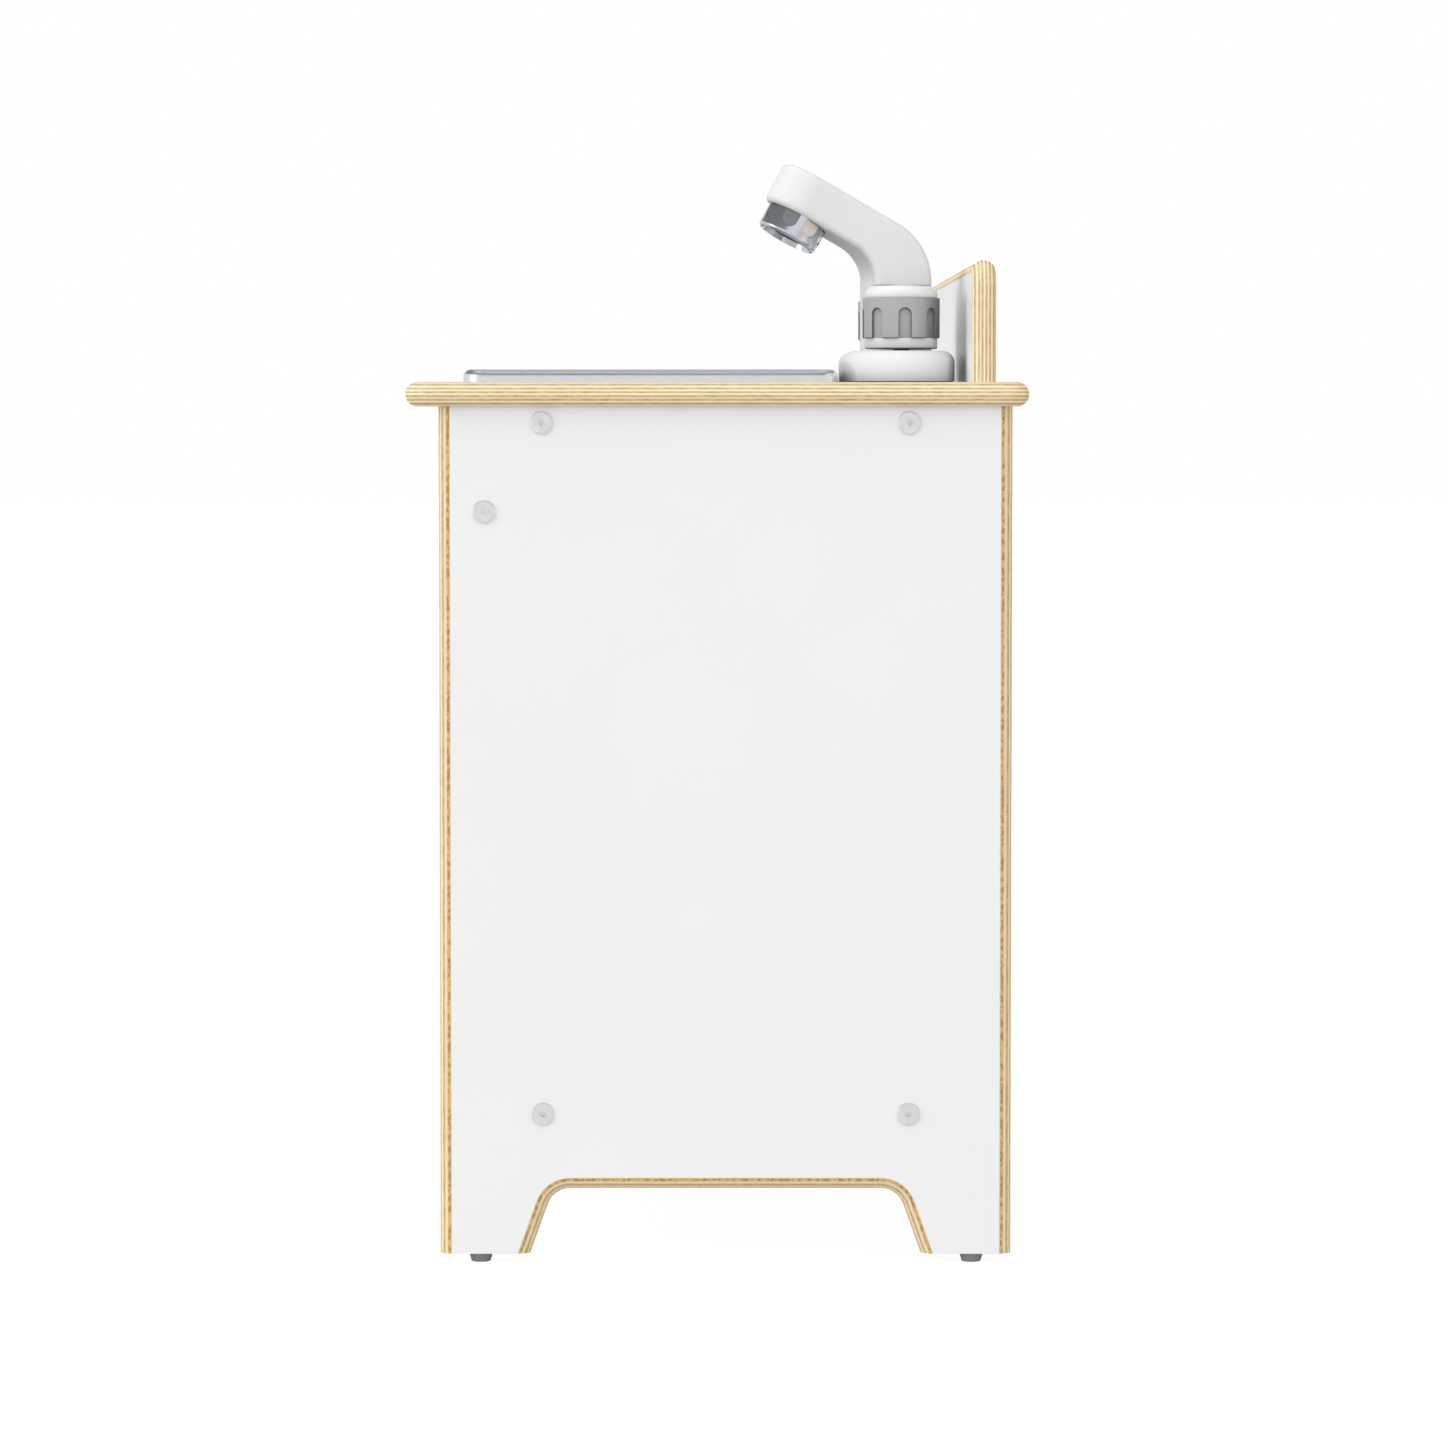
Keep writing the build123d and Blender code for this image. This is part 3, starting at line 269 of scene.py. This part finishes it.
def rubber(name):
    """Dark rubber with a bloom of dust."""
    shade = Shade(name, Specular_IOR_Level=0.3)
    dust = shade.noise(220.0, (1, 1, 1), 3.0)
    shade.set("Base Color", shade.mix(shade.span(dust, 0.4, 0.75), grey(0.018), grey(0.05)))
    shade.set("Roughness", shade.span(dust, 0.3, 0.7, 0.62, 0.8))
    shade.bump(dust, 0.03 * MM)
    return shade.material


def hob_glass():
    """Black toughened glass with the faint haze of wiping."""
    shade = Shade("hob_glass", Coat_Weight=0.6, Coat_Roughness=0.04)
    wipes = shade.noise(30.0, (0.25, 1.0, 1.0), 4.0, 0.6)
    specks = shade.noise(1400.0, (1, 1, 1), 1.0)
    tone = shade.mix(shade.span(specks, 0.68, 0.74), grey(0.012), grey(0.05))
    shade.set("Base Color", tone)
    shade.set("Roughness", shade.span(wipes, 0.3, 0.7, 0.10, 0.22))
    return shade.material


def enamel(name, colour):
    """Satin enamel on pressed steel."""
    shade = Shade(name, Specular_IOR_Level=0.5)
    peel = shade.noise(330.0, (1, 1, 1), 2.0)
    scuff = shade.noise(45.0, (1, 1, 1), 4.0, 0.7)
    lighter = tint(*(1.5 * part for part in colour[:3]))
    shade.set("Base Color", shade.mix(shade.span(scuff, 0.5, 0.75), colour, lighter))
    shade.set("Roughness", shade.span(scuff, 0.3, 0.7, 0.34, 0.5))
    shade.bump(peel, 0.05 * MM)
    return shade.material


def clear_sheet():
    """Clear acrylic with a faint grey cast and hairline scuffs."""
    shade = Shade("clear_acrylic", Transmission_Weight=1.0, IOR=1.49)
    scuff = shade.noise(80.0, (0.1, 1.0, 1.0), 5.0, 0.7)
    shade.set("Base Color", shade.mix(scuff, tint(0.90, 0.93, 0.93), tint(0.84, 0.87, 0.87)))
    shade.set("Roughness", shade.span(scuff, 0.45, 0.8, 0.02, 0.10))
    return shade.material


def dress(material, *nodes):
    """Give carried-over CAD nodes a material."""
    for name in nodes:
        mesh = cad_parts[name].data
        mesh.materials.clear()
        mesh.materials.append(material)


def dress_boards():
    """Each board shows its plies across its own thickness."""
    dress(faced_ply("side_panel_left", "X", "Z", 0.9), "side_panel_left")
    dress(faced_ply("side_panel_right", "X", "Z", 0.9), "side_panel_right")
    for node, thick_axis, grain_axis in (
            ("worktop", "Z", "Y"), ("backsplash", "Y", "Z"), ("bottom_shelf", "Z", "X"),
            ("centre_divider", "X", "Z"), ("front_fascia", "Y", "X"), ("back_panel", "Y", "X"),
            ("cabinet_shelf", "Z", "X"), ("oven_door", "Y", "X"), ("cabinet_door", "Y", "Z")):
        dress(faced_ply(node, thick_axis, grain_axis), node)
    dress(birch("birch_batten", "Y"), "cleat_left", "cleat_middle", "cleat_right",
          "rack_runner_left", "rack_runner_right")


def dress_metal():
    dress(brushed("basin_steel", tint(0.86, 0.87, 0.89), "Y", (0.20, 0.34)), "sink_basin")
    dress(brushed("strainer_steel", tint(0.66, 0.67, 0.69), "X", (0.16, 0.28)), "sink_strainer")
    dress(brushed("handle_steel_x", tint(0.58, 0.58, 0.59), "X"), "oven_handle")
    dress(brushed("handle_steel_z", tint(0.58, 0.58, 0.59), "Z"), "cabinet_handle")
    dress(brushed("retainer_steel", tint(0.50, 0.50, 0.51), "X"), "window_retainer")
    dress(plated("zinc", tint(0.97, 0.97, 0.97), 0.30),
          "panel_bolts", "barrel_nuts", "shelf_pins", "worktop_screws", "backsplash_screws",
          "divider_screws", "back_panel_screws", "tap_screws", "oven_hinge_pins",
          "cabinet_hinge_pins", "oven_handle_screws", "cabinet_handle_screws", "oven_striker",
          "cabinet_striker", "spout_clip", "hot_knob_clip", "cold_knob_clip")
    # painted shade: the nozzle's colour darkens within 12 mm of other surfaces
    dress(plated("nozzle_chrome", tint(0.74, 0.76, 0.79), 0.11, 12.0 * MM), "aerator_housing")
    dress(plated("rack_chrome", tint(0.80, 0.82, 0.85), 0.07), "oven_rack")


def dress_plastic():
    dress(moulded("spout_white", grey(0.78), 0.36), "spout")
    # painted shade: the tap's white darkens within 15 mm and the grips within 40 mm of other
    # pieces
    dress(moulded("tap_white", grey(0.80), 0.34, reach=15.0 * MM), "tap_base", "hot_knob",
          "cold_knob")
    dress(moulded("grey_grip", grey(0.41), 0.52, 0.05, 650.0, 40.0 * MM), "hot_knob_grip",
          "cold_knob_grip")
    dress(moulded("control_grey", grey(0.30), 0.45, 0.04, 650.0), "control_knob_left",
          "control_knob_middle", "control_knob_right")
    dress(moulded("fitting_grey", tint(0.20, 0.205, 0.21), 0.55, 0.05), "foot_glides",
          "magnet_catches", "oven_hinge_bushes", "cabinet_hinge_bushes")
    dress(moulded("nozzle_slate", tint(0.10, 0.11, 0.125), 0.40), "aerator_insert")
    dress(moulded("dial_plate", grey(0.74), 0.38), "control_dials")
    dress(rubber("rubber_seal"), "tap_gasket")
    dress(clear_sheet(), "oven_window")


def dress_hob():
    dress(hob_glass(), "hob_plate")
    dress(enamel("burner_enamel", tint(0.055, 0.055, 0.06)), "burner_large", "burner_small")


# ---------------------------------------------------------------- printed marks
def mesh_object(name, build, material):
    """A new object from a function that fills a bmesh."""
    work = bmesh.new()
    build(work)
    mesh = bpy.data.meshes.new(name)
    bmesh.ops.recalc_face_normals(work, faces=work.faces)
    work.to_mesh(mesh)
    work.free()
    mesh.materials.append(material)
    made = bpy.data.objects.new(name, mesh)
    bpy.context.scene.collection.objects.link(made)
    return made


def raised_bar(work, centre, size, turn):
    """A small bar with a chamfered top, about the Y axis at the given turn."""
    place = Matrix.Translation(centre) @ Matrix.Rotation(turn, 4, "Y")
    made = bmesh.ops.create_cube(work, size=1.0, matrix=place @ Matrix.Diagonal((*size, 1.0)))
    edges = {e for v in made["verts"] for e in v.link_edges}
    bmesh.ops.bevel(work, geom=list(edges), offset=0.25 * min(size), segments=2,
                    affect="EDGES", profile=0.5)


def dial_marks():
    """Plain tick marks around each control, longer at off and at full."""
    ink = moulded("dial_ink", grey(0.05), 0.5)

    def build(work):
        for name in ("left", "middle", "right"):
            low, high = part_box(f"control_knob_{name}")
            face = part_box("control_dials")[0].y
            middle = Vector(((low.x + high.x) / 2, face, (low.z + high.z) / 2))
            for step in range(TICKS):
                turn = math.radians(TICK_STEP * step)
                way = Vector((math.sin(turn), 0, math.cos(turn)))
                reach, long = (22.9, 4.4) if step in (0, TICKS - 1) else (23.4, 2.6)
                size = (0.9 * MM, 0.3 * MM, long * MM)
                raised_bar(work, middle + way * reach * MM, size, turn)

    piece = mesh_object("dial_marks", build, ink)
    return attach(piece, "cabinet")


def pointer_inlay(name):
    """The white line let into a control knob's groove."""
    white = moulded(f"pointer_white_{name}", grey(0.75), 0.4)
    low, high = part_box(f"control_knob_{name}")

    def build(work):
        centre = Vector(((low.x + high.x) / 2, low.y + 0.7 * MM, (low.z + high.z) / 2 + 10 * MM))
        raised_bar(work, centre, (1.7 * MM, 1.2 * MM, 9.6 * MM), 0.0)

    piece = mesh_object(f"pointer_{name}", build, white)
    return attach(piece, f"control_knob_{name}")


# ---------------------------------------------------------------- studio
def soft_light(name, place, aim, size, power):
    lamp = bpy.data.lights.new(name, "AREA")
    lamp.shape = "DISK"
    lamp.size = size
    lamp.energy = power
    made = bpy.data.objects.new(name, lamp)
    made.location = place
    made.rotation_euler = (Vector(aim) - Vector(place)).to_track_quat("-Z", "Y").to_euler()
    bpy.context.scene.collection.objects.link(made)


def studio_world():
    """A white cove, brighter in front. Shiny parts see a grey ceiling, so their shape reads."""
    world = bpy.data.worlds.new("studio")
    world.use_nodes = True
    tree = world.node_tree
    tree.nodes.clear()
    out = tree.nodes.new("ShaderNodeOutputWorld")
    way = tree.nodes.new("ShaderNodeTexCoord").outputs["Generated"]
    path = tree.nodes.new("ShaderNodeLightPath")

    def ranged(toward, low, high, shape="LINEAR"):
        """How far a direction points toward one way, as a strength from low to high."""
        dot = tree.nodes.new("ShaderNodeVectorMath")
        dot.operation = "DOT_PRODUCT"
        dot.inputs[1].default_value = toward
        tree.links.new(way, dot.inputs[0])
        made = tree.nodes.new("ShaderNodeMapRange")
        made.interpolation_type = shape
        for key, value in (("From Min", -1.0), ("To Min", low), ("To Max", high)):
            made.inputs[key].default_value = value
        tree.links.new(dot.outputs["Value"], made.inputs["Value"])
        return made.outputs["Result"]

    def sky(strength=None, colour=None):
        made = tree.nodes.new("ShaderNodeBackground")
        made.inputs["Color"].default_value = grey(1.0)
        if colour:
            tree.links.new(colour, made.inputs["Color"])
        if strength:
            tree.links.new(strength, made.inputs["Strength"])
        return made.outputs[0]

    def choose(share, first, second):
        made = tree.nodes.new("ShaderNodeMixShader")
        for socket, source in zip(made.inputs, (share, first, second)):
            tree.links.new(source, socket)
        return made.outputs[0]

    ceiling = tree.nodes.new("ShaderNodeValToRGB")
    ceiling.color_ramp.interpolation = "EASE"
    points = ceiling.color_ramp.elements
    while len(points) < len(CEILING):
        points.new(0.5)
    for point, (place, level) in zip(points, CEILING):
        point.position = place
        point.color = (0.93 * level, 0.97 * level, level, 1.0)
    tree.links.new(ranged((0.0, 0.0, 1.0), 0.0, 1.0), ceiling.inputs["Fac"])

    soft = sky(ranged(SKY_TOWARD, *SKY_LEVELS, "SMOOTHSTEP"))
    shiny = choose(path.outputs["Is Glossy Ray"], soft, sky(None, ceiling.outputs["Color"]))
    seen = choose(path.outputs["Is Camera Ray"], shiny, sky())
    tree.links.new(seen, out.inputs["Surface"])
    bpy.context.scene.world = world


def pale_floor():
    """A sweep that looks white to the camera, and throws a little light up on the object."""
    shade = Shade("pale_floor", Roughness=0.9)
    seen = shade.node("ShaderNodeLightPath").outputs["Is Camera Ray"]
    shade.set("Emission Strength", shade.span(seen, 0.0, 1.0, FLOOR_GLOW, FLOOR_SEEN))
    shade.set("Emission Color", grey(1.0))
    cloud = shade.noise(1.5)
    shade.set("Base Color", shade.mix(cloud, grey(FLOOR_TONE), grey(FLOOR_TONE - 0.02)))

    def build(work):
        bmesh.ops.create_grid(work, x_segments=2, y_segments=2, size=30.0)

    mesh_object("floor", build, shade.material)


def set_camera():
    """Level with the worktop, square to the right-hand end, and tilted down a little."""
    lens = bpy.data.cameras.new("camera")
    lens.lens = LENS
    lens.sensor_width = 36.0
    lens.shift_x = 0.0
    lens.shift_y = LENS_SHIFT
    lens.clip_end = 100.0
    made = bpy.data.objects.new("camera", lens)
    made.location = (*EYE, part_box("worktop")[0].z)
    made.rotation_euler = (math.radians(90.0 - EYE_TILT), 0.0, math.radians(90.0 + EYE_PAN))
    bpy.context.scene.collection.objects.link(made)
    bpy.context.scene.camera = made


def set_lights():
    studio_world()
    soft_light("key_front_left", KEY_PLACE, KEY_AIM, KEY_SIZE, KEY_POWER)
    bpy.context.scene.view_settings.view_transform = "Standard"


set_camera()
set_lights()
pale_floor()
dress_boards()
dress_metal()
dress_plastic()
dress_hob()
dial_marks()
for knob in ("left", "middle", "right"):
    pointer_inlay(knob)
